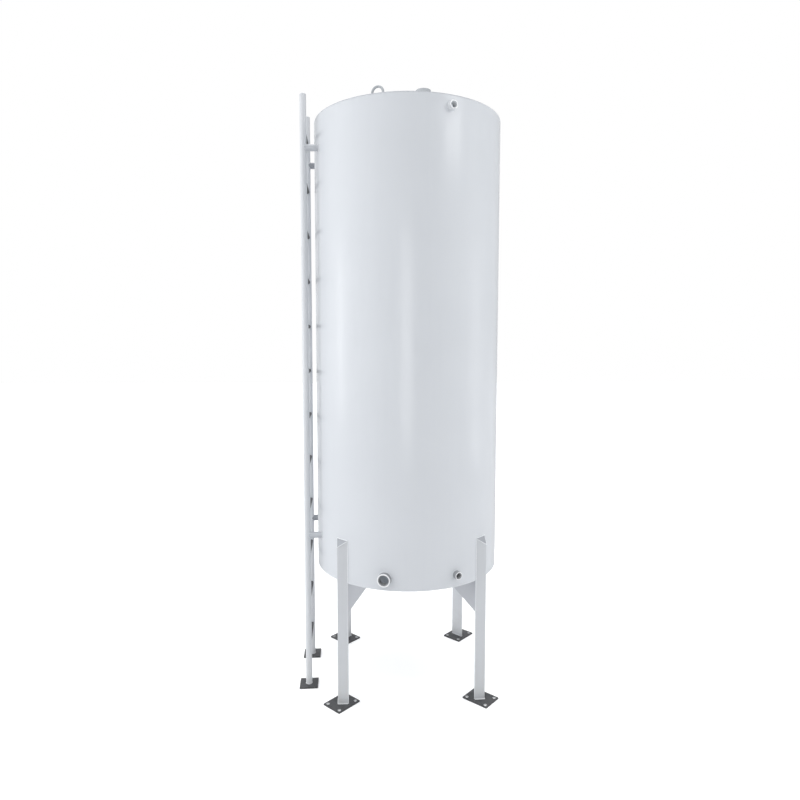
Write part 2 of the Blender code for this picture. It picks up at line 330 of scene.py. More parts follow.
def makeEdgeGroup():
    # Where two faces meet: the rounded normal leaves the true one, broken up by noise
    group, given = openGroup("edge wear", {"Reach": 0.003, "Breakup": 60.0, "Amount": 0.6})
    bevel = addNode(group, "ShaderNodeBevel", (-700, 200), {"Radius": given["Reach"]}, samples=4)
    geometry = addNode(group, "ShaderNodeNewGeometry", (-700, 0))
    dot = addNode(group, "ShaderNodeVectorMath", (-500, 100), {
        0: bevel.outputs["Normal"], 1: geometry.outputs["Normal"]}, operation="DOT_PRODUCT")
    bend = addMath(group, "SUBTRACT", (-300, 100), 1.0, dot.outputs["Value"])
    bend = addRange(group, (-100, 100), bend, 0.02, 0.22, 0, 1)
    breakup = addNoise(group, (-500, -300), given["Breakup"], 4)
    breakup = addRange(group, (-100, -200), breakup, 0.40, 0.62, 0.15, 1)
    mask = addMath(group, "MULTIPLY", (100, 0), bend, breakup)
    return closeGroup(group, {
        "Mask": addMath(group, "MULTIPLY", (300, 0), mask, given["Amount"], clamp=True)})


def makeDustGroup():
    # Pale dust that thins out above the floor and gathers in patches
    group, given = openGroup("floor dust", {"Top": 0.25, "Amount": 0.3})
    coordinates = addNode(group, "ShaderNodeTexCoord", (-700, 0))
    parts = addNode(group, "ShaderNodeSeparateXYZ", (-500, 0), {"Vector": coordinates.outputs["Object"]})
    fade = addRange(group, (-300, 0), parts.outputs["Z"], 0.0, given["Top"], 1, 0)
    patches = addNoise(group, (-500, -300), 34, 5)
    patches = addRange(group, (-100, -200), patches, 0.35, 0.65, 0.2, 1)
    mask = addMath(group, "MULTIPLY", (100, 0), fade, patches)
    return closeGroup(group, {
        "Mask": addMath(group, "MULTIPLY", (300, 0), mask, given["Amount"], clamp=True)})


def makeScaleGroup():
    # Bare hot rolled steel: dark mill scale, paler rubbed patches and small pits
    group, given = openGroup("mill scale", {
        "Scale dark": (0.07, 0.07, 0.075, 1), "Scale pale": (0.16, 0.16, 0.165, 1),
        "Grain": 1.0, "Pits": 0.5})
    patches = addNoise(group, (-700, 400), 46, 6, roughness=0.66)
    grain = addNoise(group, (-700, 100), 420, 3)
    coordinates = addNode(group, "ShaderNodeTexCoord", (-900, -200))
    cells = addNode(group, "ShaderNodeTexVoronoi", (-700, -200), {
        "Vector": coordinates.outputs["Object"], "Scale": 330})
    patchMask = addRange(group, (-300, 400), patches, 0.38, 0.66, 0, 1)
    grainMask = addRange(group, (-300, 100), grain, 0.30, 0.72, 0, 1)
    grainMask = addMath(group, "MULTIPLY", (-100, 100), grainMask, given["Grain"])
    patchPart = addMath(group, "MULTIPLY", (0, 450), patchMask, 0.55)
    grainPart = addMath(group, "MULTIPLY", (0, 250), grainMask, 0.45)
    total = addMath(group, "ADD", (250, 350), patchPart, grainPart, clamp=True)
    pit = addRange(group, (-300, -200), cells.outputs["Distance"], 0.0, 0.35, 0, 1)
    pit = addMath(group, "MULTIPLY", (-100, -200), pit, given["Pits"])
    return closeGroup(group, {
        "Colour": addMix(group, (450, 300), total, given["Scale dark"], given["Scale pale"]),
        "Roughness": addRange(group, (450, 0), patches, 0.3, 0.7, 0.46, 0.68),
        "Height": addMath(group, "ADD", (100, -200), pit, grain)})


print("making the finishes")
paintGroup = makePaintGroup()
edgeGroup = makeEdgeGroup()
dustGroup = makeDustGroup()
scaleGroup = makeScaleGroup()


def startMaterial(name):
    material = bpy.data.materials.new(name)
    material.use_nodes = True
    tree = material.node_tree
    shader = tree.nodes["Principled BSDF"]
    shader.location = (700, 0)
    tree.nodes["Material Output"].location = (1000, 0)
    return material, tree, shader


def useGroup(tree, group, place, values):
    return addNode(tree, "ShaderNodeGroup", place, values, node_tree=group)


def addWear(tree, shader, look, steel):
    # What every finish shares: worn edges, the dust of the floor and a fine relief
    edge = useGroup(tree, edgeGroup, (-500, -200), {
        "Reach": look["edgeReach"], "Breakup": look["breakup"], "Amount": look["edgeAmount"]})
    dust = useGroup(tree, dustGroup, (-500, -400), {"Top": look["dustTop"], "Amount": look["dust"]})
    worn = addMix(tree, (-200, 100), edge.outputs["Mask"], steel.outputs["Colour"], (*look["edge"], 1))
    dusty = addMix(tree, (100, 0), dust.outputs["Mask"], worn, (*look["dustColour"], 1))
    bump = addNode(tree, "ShaderNodeBump", (400, -300), {
        "Strength": look["bump"], "Distance": look["relief"], "Height": steel.outputs["Height"]})
    feed(tree, shader.inputs["Base Color"], dusty)
    feed(tree, shader.inputs["Normal"], bump.outputs["Normal"])
    return dust.outputs["Mask"]


def paintedSteel(name, look):
    material, tree, shader = startMaterial(name)
    paint = useGroup(tree, paintGroup, (-500, 200), {
        "Paint": (*look["paint"], 1), "Thin paint": (*look["thin"], 1), "Drift": look["drift"],
        "Runs": look["runs"], "Gloss low": look["gloss"][0], "Gloss high": look["gloss"][1],
        "Peel": look["peel"]})
    dust = addWear(tree, shader, look, paint)
    dull = addNode(tree, "ShaderNodeMath", (100, -300), {
        0: dust, 1: 0.5, 2: paint.outputs["Roughness"]}, operation="MULTIPLY_ADD")
    feed(tree, shader.inputs["Roughness"], dull.outputs["Value"])
    shader.inputs["IOR"].default_value = 1.5
    return material


def bareSteel(name, look):
    material, tree, shader = startMaterial(name)
    scale = useGroup(tree, scaleGroup, (-500, 200), {
        "Scale dark": (*look["dark"], 1), "Scale pale": (*look["pale"], 1),
        "Grain": look["grain"], "Pits": look["pits"]})
    addWear(tree, shader, look, scale)
    feed(tree, shader.inputs["Roughness"], scale.outputs["Roughness"])
    shader.inputs["Metallic"].default_value = look["metallic"]
    return material


# One enamel over the whole tank, a shade duller on the steelwork under it. Each gloss range keeps to one
# side of 0.274, because the denoiser draws sharp patches on a finish that crosses it
enamel = {
    "paint": (0.598, 0.620, 0.648), "thin": (0.566, 0.588, 0.617), "drift": 0.35, "runs": 0.18,
    "gloss": (0.19, 0.27), "peel": 0.25, "bump": 0.6, "relief": 0.00006, "edge": (0.80, 0.82, 0.84),
    "edgeReach": 0.002, "edgeAmount": 0.5, "breakup": 70, "dustTop": 0.3, "dust": 0.0,
    "dustColour": (0.55, 0.53, 0.50),
}
plateSteel = {
    "dark": (0.030, 0.031, 0.034), "pale": (0.095, 0.097, 0.102), "grain": 1.0, "pits": 0.5,
    "metallic": 0.15, "bump": 0.5, "relief": 0.0003, "edge": (0.020, 0.021, 0.024), "edgeReach": 0.004,
    "edgeAmount": 0.9, "breakup": 120, "dustTop": 0.02, "dust": 0.06, "dustColour": (0.42, 0.41, 0.39),
}
finishes = {}


def addPaint(name, start, **changes):
    # A finish that leaves another look in a few values, and the look it comes to
    look = dict(start, **changes)
    finishes[name] = paintedSteel(name + " enamel", look)
    return look


def addSteel(name, **changes):
    finishes[name] = bareSteel(name + " steel", dict(plateSteel, **changes))


addPaint("shell", enamel)
addPaint("roof", enamel, paint=(0.52, 0.54, 0.565), thin=(0.48, 0.50, 0.525), drift=0.6, gloss=(0.29, 0.40),
         runs=0.0)
addPaint("bottom", enamel, paint=(0.610, 0.630, 0.655), drift=0.5, gloss=(0.29, 0.42), runs=0.0)
# The low couplings' bodies get a dark copy of the coupling enamel: painted shade on their flanks. The high
# coupling's body gets a pale copy: painted light. The faced ends get a near white copy: a painted highlight
couplingLook = addPaint("coupling", enamel, paint=(0.27, 0.28, 0.295), thin=(0.20, 0.21, 0.22), drift=0.5,
                        gloss=(0.29, 0.36), peel=0.4, edgeReach=0.0012, edgeAmount=0.8)
addPaint("lit high coupling", couplingLook, paint=(0.62, 0.64, 0.66), thin=(0.56, 0.58, 0.60))
addPaint("highlit coupling face", couplingLook, paint=(0.80, 0.81, 0.82), thin=(0.74, 0.75, 0.76), edgeAmount=0.3)
addPaint("roof coupling", couplingLook, paint=(0.43, 0.45, 0.47), thin=(0.39, 0.41, 0.43), drift=0.3)
legLook = addPaint("leg", enamel, paint=(0.560, 0.578, 0.600), thin=(0.52, 0.54, 0.56), gloss=(0.29, 0.40),
                   runs=0.25, peel=0.35, edge=(0.74, 0.76, 0.78), edgeReach=0.003, edgeAmount=0.7, dust=0.30)
# The caps get a much darker copy of the leg enamel: painted shade on their sloped tops, where less light
# falls from above
addPaint("leg cap", legLook, paint=(0.32, 0.335, 0.36), thin=(0.28, 0.295, 0.32))
# The inner plates get a paler copy of the leg enamel: painted light on the back legs' inner faces
addPaint("inner plate", legLook, paint=(0.69, 0.71, 0.735), thin=(0.65, 0.67, 0.69))
addPaint("gusset", legLook, paint=(0.53, 0.545, 0.575), thin=(0.49, 0.505, 0.535))
# The front left gusset gets a paler copy of the gusset enamel: painted light falling from the left
addPaint("lit gusset", legLook, paint=(0.65, 0.665, 0.695), thin=(0.61, 0.625, 0.655))
ladderLook = addPaint("ladder", legLook, paint=(0.630, 0.648, 0.670), thin=(0.58, 0.60, 0.63),
                      gloss=(0.29, 0.38))
# The stubs get a darker copy of the ladder enamel, the back ones a much darker one: painted shade between
# the stringers and the wall
addPaint("bracket", ladderLook, paint=(0.50, 0.52, 0.55), thin=(0.45, 0.47, 0.50))
addPaint("shaded back bracket", ladderLook, paint=(0.28, 0.295, 0.32), thin=(0.24, 0.255, 0.28))
addPaint("weld bead", enamel, gloss=(0.29, 0.40), peel=0.8, edgeAmount=0.0)
# The leg welds get a paler copy of the leg enamel: a painted highlight along the beads and the cap's edges
addPaint("highlit leg weld", legLook, paint=(0.76, 0.78, 0.80), thin=(0.70, 0.72, 0.74), peel=0.8, edgeAmount=0.0)
addPaint("eye", enamel, paint=(0.44, 0.46, 0.48), thin=(0.36, 0.375, 0.39), gloss=(0.29, 0.38))
addSteel("base plate")
# The bolt holes' walls: bare drilled steel, made near white as a painted highlight of the light they catch
addSteel("drilled", dark=(0.55, 0.56, 0.57), pale=(0.80, 0.80, 0.81), edgeAmount=0.0, metallic=0.3)
addSteel("rung", dark=(0.055, 0.056, 0.060), pale=(0.120, 0.122, 0.128), edgeAmount=0.4, dust=0.0,
         metallic=0.35)


def dress(piece, finish, slotName, *nodes, smoothAngle=32):
    # Shading, finish, the body it rides on and the CAD nodes it stands for
    hold(piece)
    bpy.ops.object.shade_smooth_by_angle(angle=math.radians(smoothAngle))
    piece.data.materials.clear()
    piece.data.materials.append(finishes[finish])
    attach(piece, "root")
    if nodes:
        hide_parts(*nodes)
    deselect()


def reface(piece, finish, numbers):
    # A second finish, on some of its faces
    piece.data.materials.append(finishes[finish])
    for number in numbers:
        piece.data.polygons[number].material_index = 1


# Welds: each is a line of overlapping beads along a path
weld = {"pitch": 0.0026, "dip": 0.16, "swell": 0.05, "ripple": 0.03, "lift": 0.0006}


def straightPath(first, last):
    first, last = Vector(first), Vector(last)
    steps = max(2, round((last - first).length / weld["pitch"]))
    return [first.lerp(last, step / steps) for step in range(steps + 1)]


def ringPath(radius, pointAt):
    steps = max(16, 2 * round(math.pi * radius / weld["pitch"]))
    return [pointAt(2 * math.pi * step / steps) for step in range(steps)]


def weldPiece(name, paths, slotName, finish):
    # paths holds (points, bead radius, closed) for every run of the welder
    curve = bpy.data.curves.new(name, "CURVE")
    curve.dimensions = "3D"
    curve.bevel_depth = 1.0
    curve.bevel_resolution = 2
    curve.use_fill_caps = True
    for points, bead, closed in paths:
        spline = curve.splines.new("POLY")
        spline.points.add(len(points) - 1)
        for number, (target, point) in enumerate(zip(spline.points, points)):
            target.co = (*point, 1)
            swell = 1 + weld["swell"] * math.sin(number * 0.37) + weld["ripple"] * math.sin(number * 0.11)
            dip = weld["dip"] if number % 2 else 0
            target.radius = bead * swell * (1 - dip)
        spline.use_cyclic_u = closed
    deselect()
    piece = bpy.data.objects.new(name, curve)
    bpy.context.collection.objects.link(piece)
    hold(piece)
    bpy.ops.object.convert(target="MESH")
    piece = bpy.context.object
    piece.name = name
    faceOut(piece)
    dress(piece, finish, slotName, smoothAngle=60)


# Couplings: angle round the tank, height, outer and bore diameters, reach out of the wall
couplings = {
    "lowLarge": {"node": "nozzle_low_large", "finish": "coupling", "angle": 253.6, "height": 0.8640,
                 "outer": 0.084, "bore": 0.063, "reach": 0.030},
    "lowSmall": {"node": "nozzle_low_small", "finish": "coupling", "angle": 295.9, "height": 0.8710,
                 "outer": 0.050, "bore": 0.035, "reach": 0.033},
    # The high coupling takes the pale copy: painted light
    "high": {"node": "nozzle_high", "finish": "lit high coupling", "angle": 290.5, "height": 3.6385,
             "outer": 0.051, "bore": 0.035, "reach": 0.035},
}
roofCoupling = {"node": "nozzle_roof", "angle": 277.9, "radius": 0.460, "outer": 0.090,
                "bore": 0.072, "top": 3.7655, "bottom": 3.700}
roofSpot = onRing(roofCoupling["radius"], math.radians(roofCoupling["angle"]))
thread = {"pitch": 0.0023, "depth": 0.0011, "lead": 0.003, "edge": 0.0022, "sides": 72, "bead": 0.0042}


def holeCutter(size, low, high):
    return addRod("hole cutter", 64, size["outer"] / 2 + 0.0003, low, high)


def couplingSpot(size):
    return atTank @ Matrix.Translation((0, 0, size["height"])) @ spun(size["angle"])


def couplingPlace(size):
    return couplingSpot(size) @ Matrix.Rotation(math.pi / 2, 4, "Y")


def makeShell():
    # A rolled wall: rings keep the shading true round the holes, the ends are ground for the seam
    low, high = shellLow.z, shellHigh.z
    shell = addRod("tankWall", tank["sides"], tank["radius"], low, high, end_fill_type="NOTHING")
    ringCuts(shell, alongZ, tank["wallRings"])
    modify(shell, "SOLIDIFY", thickness=tank["wall"], offset=-1, use_even_offset=True)
    pickEdges(shell, lambda p: abs(p.z - (low + high) / 2) > (high - low) / 2 - 0.0005
              and p.xy.length > tank["radius"] - 0.002, level=True)
    bpy.ops.mesh.bevel(offset=tank["seam"], segments=1)
    putDown(shell, atTank)
    for size in couplings.values():
        cutter = holeCutter(size, 0.5, 0.7)
        putDown(cutter, couplingPlace(size))
        punch(shell, cutter)
    dress(shell, "shell", "shell_paint", *shellPlates, smoothAngle=20)


def makeRoof():
    # A shallow cone of plate, its lower outside edge ground for the seam
    depth = tank["radius"] * tank["slope"]
    deselect()
    bpy.ops.mesh.primitive_cone_add(vertices=tank["sides"], radius1=tank["radius"], radius2=0, depth=depth,
                                    end_fill_type="NOTHING", location=(0, 0, tank["rim"] + depth / 2))
    roof = fresh("tankRoof")
    ringCuts(roof, alongZ, [roofAt(radius) for radius in tank["roofRings"]])
    edit(roof)
    pull(z=-tank["roofThickness"])
    faceOut(roof)
    for height, width, segments in ((tank["rim"] - tank["roofThickness"], tank["seam"], 1),
                                    (tank["rim"], 0.0008, 2)):
        pickEdges(roof, lambda p: abs(p.z - height) < 0.0002 and p.xy.length > tank["radius"] - 0.001)
        bpy.ops.mesh.bevel(offset=width, segments=segments)
    cutter = holeCutter(roofCoupling, 3.6, 3.9)
    putDown(cutter, Matrix.Translation(roofSpot))
    punch(roof, cutter)
    putDown(roof, atTank)
    dress(roof, "roof", "roof_paint", "roof", smoothAngle=20)


def makeBottom():
    low, radius = tank["bottom"], tank["radius"]
    bottom = addRod("tankBottom", tank["sides"], radius, low, low + tank["bottomThickness"])
    pickFaces(bottom, lambda centre, normal: abs(normal.z) > 0.9)
    for width in tank["bottomInsets"]:
        bpy.ops.mesh.inset(thickness=width)
    pickEdges(bottom, lambda p: p.xy.length > radius - 0.0005, level=True)
    bpy.ops.mesh.bevel(offset=tank["seam"] * 0.8, segments=2)
    putDown(bottom, atTank)
    dress(bottom, "bottom", "bottom_paint", "bottom_plate", smoothAngle=20)


def couplingRings(size, low, high):
    # Out along the bore over the thread's ridges, round the faced end and back down the outside
    edge, lead, pitch = thread["edge"], thread["lead"], thread["pitch"]
    inner, outside = size["bore"] / 2, size["outer"] / 2
    rings = [(inner, low)]
    height = low + pitch
    while height < high - lead:
        rings.append((inner, height - pitch * 0.5))
        rings.append((inner + thread["depth"], height - pitch * 0.15))
        height += pitch
    return rings + [(inner, high - lead), (inner + lead * 0.7, high), (outside - edge, high),
                    (outside - edge * 0.3, high - edge * 0.3), (outside, high - edge), (outside, low)]


def makeCouplings():
    for label, size in couplings.items():
        low = tank["radius"] - tank["wall"] - 0.005
        high = tank["radius"] + size["reach"]
        piece = turned("coupling_" + label, thread["sides"], couplingRings(size, low, high))
        # The faced ends take the painted highlight finish
        ends = [face.index for face in piece.data.polygons
                if face.center.z > high - 0.0012 and face.center.xy.length > size["bore"] / 2 + 0.0015]
        putDown(piece, couplingPlace(size))
        dress(piece, size["finish"], "coupling_paint", size["node"])
        reface(piece, "highlit coupling face", ends)
    size = roofCoupling
    piece = turned("coupling_roof", thread["sides"], couplingRings(size, size["bottom"], size["top"]))
    putDown(piece, atTank @ Matrix.Translation(roofSpot))
    dress(piece, "roof coupling", "coupling_paint", size["node"])


def weldTank():
    bead = tank["seam"] * 1.12
    inset = tank["radius"] - bead
    paths = []
    for height in (shellHigh.z, shellLow.z):
        ring = ringPath(inset, lambda turn: tank["axis"] + onRing(inset, turn, height))
        paths.append((ring, bead * 0.94, True))
    weldPiece("weldsSeams", paths, "shell_paint", "weld bead")

    paths = []
    for size in couplings.values():
        branch = size["outer"] / 2 + 0.001
        place = couplingSpot(size)

        def onWall(turn):
            across = branch * math.cos(turn)
            return place @ Vector((wallOut(across) + weld["lift"], across, branch * math.sin(turn)))
        paths.append((ringPath(branch, onWall), thread["bead"], True))
    branch = roofCoupling["outer"] / 2 + 0.001
    ring = ringPath(branch, lambda turn: onRoof(roofSpot + onRing(branch, turn), weld["lift"]))
    paths.append((ring, thread["bead"], True))
    weldPiece("weldsCouplings", paths, "coupling_paint", "weld bead")


print("rolling the tank")
makeShell()
makeRoof()
makeBottom()
print("threading the couplings")
makeCouplings()
weldTank()

# Legs: a steel angle, heel outwards, closed by a plate behind it and a sloped cap above it
corners = {"frontLeft": ("front_left", 225), "frontRight": ("front_right", 316.2),
           "backRight": ("back_right", 45), "backLeft": ("back_left", 135)}
leg = {
    "heel": 0.6549, "toe": 0.6094, "wall": 0.006, "root": 0.007, "foot": 0.0098,
    "capHeel": 1.027, "capToe": 1.0645, "capThickness": 0.006,
    "innerThickness": 0.005, "innerTop": tank["bottom"] - 0.0003,
    "beads": {"toe": 0.0030, "foot": 0.0030, "cap": 0.0024, "inner": 0.0012, "plate": 0.0026,
              "saddle": 0.0028},
}
leg["halfWidth"] = leg["heel"] - leg["toe"]
leg["slope"] = (leg["capToe"] - leg["capHeel"]) / leg["halfWidth"]
gusset = {"length": 0.350, "height": 0.245, "thickness": 0.006, "tip": 0.004}
basePlate = {"length": 0.180, "width": 0.144, "thickness": 0.0095, "centre": 0.6235, "hole": 0.022,
             "holeEdge": 0.020}


def makeLegAngle():
    width = leg["halfWidth"] * math.sqrt(2)
    wall = leg["wall"]
    angle = addBox("leg angle", (0, 0, leg["foot"]), (width, wall, 1.12))
    ringCuts(angle, alongX, (wall,))
    pickFaces(angle, lambda centre, normal: normal.y > 0.9 and centre.x < wall)
    pull(y=width - wall)
    pickEdges(angle, lambda p: abs(p.x - wall) < 0.0001 and abs(p.y - wall) < 0.0001)
    bpy.ops.mesh.bevel(offset=leg["root"], segments=5)
    pickEdges(angle, lambda p: p.xy.length < 0.0001)
    bpy.ops.mesh.bevel(offset=0.0012, segments=3)
    putDown(angle, Matrix.Translation((leg["heel"], 0, 0)) @ spun(135))
    cutOff(angle, (leg["toe"], 0, 0), (-1, 0, 0))
    under = leg["capThickness"] / math.cos(math.atan(leg["slope"]))
    cutOff(angle, (leg["heel"], 0, leg["capHeel"] - under - 0.0004), (leg["slope"], 0, 1))
    soften(angle, 0.0006, segments=1, angle=50)
    faceOut(angle)
    return angle


def makeLegCap():
    # A plate laid on the slope and trimmed to the angle's outline
    tilt = math.atan(leg["slope"])
    cap = addBox("leg cap", (-0.09, -0.07, -leg["capThickness"]), (0.03, 0.07, 0))
    putDown(cap, Matrix.Translation((leg["heel"], 0, leg["capHeel"])) @ Matrix.Rotation(tilt, 4, "Y"))
    outer = Vector((leg["heel"] - 0.0001, 0, 0))
    cutOff(cap, outer, (1, 1, 0))
    cutOff(cap, outer, (1, -1, 0))
    cutOff(cap, (leg["toe"] + 0.0002, 0, 0), (-1, 0, 0))
    soften(cap, 0.0008, angle=30)
    faceOut(cap)
    return cap


def makeInnerPlate():
    half = leg["halfWidth"]
    face = leg["toe"] - 0.0003
    plate = addBox("inner plate", (face - leg["innerThickness"], -half, leg["foot"]),
                   (face, half, leg["innerTop"]))
    soften(plate, 0.0009)
    return plate


def makeGusset():
    root = leg["toe"] - leg["innerThickness"] - 0.0006
    top = leg["innerTop"]
    end, foot = root - gusset["length"], top - gusset["height"]
    half = gusset["thickness"] / 2
    plate = addBox("gusset", (end, -half, foot), (root, half, top))
    cutOff(plate, (root, 0, foot), (-gusset["height"], 0, -gusset["length"]))
    # The two sharp tips are cropped square, as sheared plate is
    cutOff(plate, (end + gusset["tip"], 0, 0), (-1, 0, 0))
    cutOff(plate, (0, 0, foot + gusset["tip"]), (0, 0, -1))
    soften(plate, 0.0008)
    faceOut(plate)
    return plate


def makeBasePlate():
    reach, side = basePlate["length"] / 2, basePlate["width"] / 2
    plate = addBox("base plate", (-reach, -side, 0), (reach, side, basePlate["thickness"]))
    soften(plate, 0.0011)
    edge = basePlate["holeEdge"]
    for x, y in [(sx * (reach - edge), sy * (side - edge)) for sx in (-1, 1) for sy in (-1, 1)]:
        punch(plate, addRod("bolt hole", 32, basePlate["hole"] / 2, -0.025, 0.025, location=(x, y, 0)))
    soften(plate, 0.0005, segments=1, angle=60)
    putDown(plate, Matrix.Translation((basePlate["centre"], 0, 0)))
    return plate


def holeFaces(plate):
    # The drilled walls: upright faces well inside the plate's outline
    low, high = Vector(plate.bound_box[0]), Vector(plate.bound_box[6])
    return [face.index for face in plate.data.polygons if abs(face.normal.z) < 0.2
            and low.x + 0.002 < face.center.x < high.x - 0.002
            and low.y + 0.002 < face.center.y < high.y - 0.002]


def weldLeg(corner, place):
    # Both toes and the cap against the wall, the foot on its plate, the inner plate and the gusset
    toe, heel, half, beads = leg["toe"], leg["heel"], leg["halfWidth"], leg["beads"]
    low, high = tank["bottom"] + 0.004, leg["capToe"]
    foot = basePlate["thickness"] + 0.0006
    root = leg["toe"] - leg["innerThickness"] - 0.0003
    top = tank["bottom"] - 0.0006
    out = wallOut(half) + 0.0012
    runs = []
    for side in (-1, 1):
        flank = side * (gusset["thickness"] / 2 + 0.0008)
        runs += [
            ((out, side * (half + 0.0006), low), (out, side * (half + 0.0006), high), beads["toe"]),
            ((toe + 0.002, side * (half + 0.0002), foot), (heel + 0.0004, 0, foot), beads["foot"]),
            ((toe + 0.003, side * half * 0.95, high - 0.0062), (heel - 0.0002, 0, leg["capHeel"] - 0.0042),
             beads["cap"]),
            ((toe, side * half, foot), (toe, side * half, leg["innerTop"]), beads["inner"]),
            ((root, flank, top - gusset["height"] + 0.008), (root, flank, top), beads["plate"]),
            ((root - 0.002, flank, top), (root - gusset["length"] + 0.008, flank, top), beads["plate"]),
        ]
    runs.append(((root - 0.0002, -half, foot), (root - 0.0002, half, foot), beads["plate"]))
    paths = [([place @ point for point in straightPath(first, last)], bead, False)
             for first, last, bead in runs]
    steps = 30
    saddle = []
    for step in range(steps + 1):
        across = half * (2 * step / steps - 1)
        saddle.append(place @ Vector((wallOut(across) + 0.001, across, leg["capToe"] - 0.0004)))
    paths.append((saddle, beads["saddle"], False))
    weldPiece("weldsLeg_" + corner, paths, "leg_paint", "highlit leg weld")


def makeLegs():
    angle, cap, inner = makeLegAngle(), makeLegCap(), makeInnerPlate()
    rib, plate = makeGusset(), makeBasePlate()
    drilled = holeFaces(plate)
    for corner, (node, degrees) in corners.items():
        place = atTank @ spun(degrees)
        dress(copyTo(angle, "legAngle_" + corner, place), "leg", "leg_paint", "leg_" + node)
        dress(copyTo(cap, "legCap_" + corner, place), "leg cap", "leg_paint")
        dress(copyTo(inner, "innerPlate_" + corner, place), "inner plate", "inner_plate_paint",
              "inner_plate_" + node)
        # The front left gusset takes the painted light copy
        dress(copyTo(rib, "gussetPlate_" + corner, place),
              "lit gusset" if corner == "frontLeft" else "gusset", "gusset_paint", "gusset_" + node)
        footPlate = copyTo(plate, "footPlate_" + corner, place)
        dress(footPlate, "base plate", "base_plate_steel", "base_plate_" + node)
        # The hole walls take the painted highlight finish
        reface(footPlate, "drilled", drilled)
        weldLeg(corner, place)
    for piece in (angle, cap, inner, rib, plate):
        throwAway(piece)


print("welding the legs")
makeLegs()

# Ladder: two tubes, twelve round rungs and four short tubes to the wall, turned a little out of square
ladder = {
    "offset": 0.6705, "turn": 1.3, "halfSpan": 0.203, "tube": 0.0205, "top": 3.8355, "dome": 0.010,
    "footSize": 0.120, "footThickness": 0.0095, "low": 0.0098,
    "rungs": 12, "firstRung": 0.2415, "rungPitch": 0.308, "rungRadius": 0.0125,
    "tubeRings": (0.6, 1.2, 1.8, 2.4, 3.0, 3.6), "rungRings": (-0.12, -0.04, 0.04, 0.12),
    "brackets": {"lower": 1.0235, "upper": 3.5045},
    # The back stubs take the darker painted shade copy
    "bracketFinish": {"front": "bracket", "back": "shaded back bracket"},
    "beads": {"rung": 0.0026, "tube": 0.0026, "wall": 0.0036, "foot": 0.0022},
}
atLadder = atTank @ Matrix.Translation((-ladder["offset"], 0, 0)) @ spun(ladder["turn"])
ladderSides = {"front": -ladder["halfSpan"], "back": ladder["halfSpan"]}
rungHeights = [ladder["firstRung"] + number * ladder["rungPitch"] for number in range(ladder["rungs"])]


def makeStringer():
    radius, dome = ladder["tube"], ladder["dome"]
    shoulder = ladder["top"] - dome
    tube = addRod("stringer", 64, radius, ladder["low"], shoulder)
    pickFaces(tube, lambda centre, normal: normal.z > 0.9)
    steps = 8
    turns = [math.pi / 2 * step / steps for step in range(steps)]
    rings = [(radius * math.cos(turn), shoulder + dome * math.sin(turn)) for turn in turns]
    pullThrough(rings)
    bpy.ops.mesh.poke(offset=ladder["top"] - rings[-1][1])
    ringCuts(tube, alongZ, ladder["tubeRings"])
    return tube


def makeRung():
    # Drawn round bar, its ends faced to sit in the welds
    half = ladder["halfSpan"] - ladder["tube"] * 0.86
    bar = addRod("rung", 40, ladder["rungRadius"], -half, half, rotation=(math.pi / 2, 0, 0))
    ringCuts(bar, alongY, ladder["rungRings"])
    soften(bar, 0.0012)
    return bar


def makeLadderFoot():
    half = ladder["footSize"] / 2
    plate = addBox("ladder foot", (-half, -half, 0), (half, half, ladder["footThickness"]))
    soften(plate, 0.0011, segments=3)
    return plate


def bracketEnd(y):
    # How far a tube line at this offset runs before it meets the wall, in the ladder's own frame
    turn = math.radians(ladder["turn"])
    along = Vector((math.cos(turn), math.sin(turn)))
    across = Vector((-math.sin(turn), math.cos(turn)))
    origin = Vector((-ladder["offset"], 0)) + across * y
    half = origin.dot(along)
    return -half - math.sqrt(half ** 2 - origin.length_squared + tank["radius"] ** 2)


def makeBracket(y):
    # A stub of the same tube: one end against the stringer, the other trimmed to the wall
    stub = addRod("bracket", 64, ladder["tube"], 0, 0.16, location=(0.083, 0, 0),
                  rotation=(0, math.pi / 2, 0))
    slope = (bracketEnd(y + 0.01) - bracketEnd(y - 0.01)) / 0.02
    cutOff(stub, (bracketEnd(y) + 0.0022, 0, 0), (1, -slope, 0))
    ringCuts(stub, alongX, (0.04,))
    punch(stub, addRod("saddle cutter", 96, ladder["tube"] + 0.0003, -0.1, 0.1))
    faceOut(stub)
    return stub


def weldLadder():
    tube, rung, beads = ladder["tube"], ladder["rungRadius"] + weld["lift"], ladder["beads"]
    paths = []
    for height in rungHeights:
        for y in ladderSides.values():
            inward = -1 if y > 0 else 1

            def onStringer(turn):
                across = rung * math.cos(turn)
                out = math.sqrt(tube ** 2 - across ** 2) + weld["lift"]
                return atLadder @ Vector((across, y + inward * out, height + rung * math.sin(turn)))
            paths.append((ringPath(ladder["rungRadius"], onStringer), beads["rung"], True))
    weldPiece("weldsRungs", paths, "ladder_paint", "ladder")

    paths = []
    collar = tube + 0.0008
    for height in ladder["brackets"].values():
        for y in ladderSides.values():
            def onTube(turn):
                across = tube * math.cos(turn)
                out = math.sqrt(max(0, collar ** 2 - across ** 2))
                return atLadder @ Vector((out, y + across, height + tube * math.sin(turn)))

            def onWall(turn):
                across = y + collar * math.cos(turn)
                return atLadder @ Vector((bracketEnd(across) - weld["lift"], across,
                                          height + collar * math.sin(turn)))
            paths.append((ringPath(tube, onTube), beads["tube"], True))
            paths.append((ringPath(tube, onWall), beads["wall"], True))
    foot = ladder["footThickness"] + 0.0008
    for y in ladderSides.values():
        ring = ringPath(tube, lambda turn: atLadder @ (
            Vector((0, y, 0)) + onRing(tube + weld["lift"], turn, foot)))
        paths.append((ring, beads["foot"], True))
    weldPiece("weldsBrackets", paths, "ladder_paint", "ladder")


